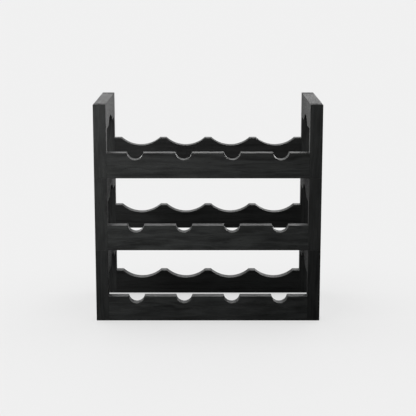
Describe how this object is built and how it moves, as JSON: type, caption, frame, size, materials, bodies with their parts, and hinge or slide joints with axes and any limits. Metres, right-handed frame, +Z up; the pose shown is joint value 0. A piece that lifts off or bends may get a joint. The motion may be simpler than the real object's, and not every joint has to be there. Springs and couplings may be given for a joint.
{
  "type": "wine rack",
  "caption": "Free-standing wooden wine rack of stacked modules; bottles lie with necks in front notches and bodies in rear cradles.",
  "frame": {"origin": "centre of the footprint, on the surface that the rack stands on", "axes": "+X is the width, -Y is the front where the bottle necks lie, +Z is up"},
  "size_m": [0.469, 0.24, 0.456],
  "materials": {
    "stained_wood": "solid wood stained black, matt, with the grain showing faintly",
    "dowel_beech": "bare beech, smooth"
  },
  "bodies": {
    "bottom_module": {"bottom_front_left_post": "stained_wood", "bottom_front_right_post": "stained_wood", "bottom_rear_left_post": "stained_wood", "bottom_rear_right_post": "stained_wood", "bottom_left_side_rail": "stained_wood", "bottom_right_side_rail": "stained_wood", "bottom_front_rail": "stained_wood", "bottom_rear_rail": "stained_wood", "bottom_front_rail_dowels": "dowel_beech", "bottom_rear_rail_dowels": "dowel_beech", "bottom_side_rail_dowels": "dowel_beech"},
    "middle_module": {"middle_front_left_post": "stained_wood", "middle_front_right_post": "stained_wood", "middle_rear_left_post": "stained_wood", "middle_rear_right_post": "stained_wood", "middle_left_side_rail": "stained_wood", "middle_right_side_rail": "stained_wood", "middle_front_rail": "stained_wood", "middle_rear_rail": "stained_wood", "middle_front_rail_dowels": "dowel_beech", "middle_rear_rail_dowels": "dowel_beech", "middle_side_rail_dowels": "dowel_beech", "middle_stacking_dowels": "dowel_beech"},
    "top_module": {"top_front_left_post": "stained_wood", "top_front_right_post": "stained_wood", "top_rear_left_post": "stained_wood", "top_rear_right_post": "stained_wood", "top_left_side_rail": "stained_wood", "top_right_side_rail": "stained_wood", "top_front_rail": "stained_wood", "top_rear_rail": "stained_wood", "top_front_rail_dowels": "dowel_beech", "top_rear_rail_dowels": "dowel_beech", "top_side_rail_dowels": "dowel_beech", "top_stacking_dowels": "dowel_beech"}
  },
  "joints": [
    {"name": "middle_module_lift", "type": "slide", "parent": "bottom_module", "child": "middle_module", "axis": [0, 0, 1], "range_m": [0, 0.06]},
    {"name": "top_module_lift", "type": "slide", "parent": "middle_module", "child": "top_module", "axis": [0, 0, 1], "range_m": [0, 0.06]}
  ]
}
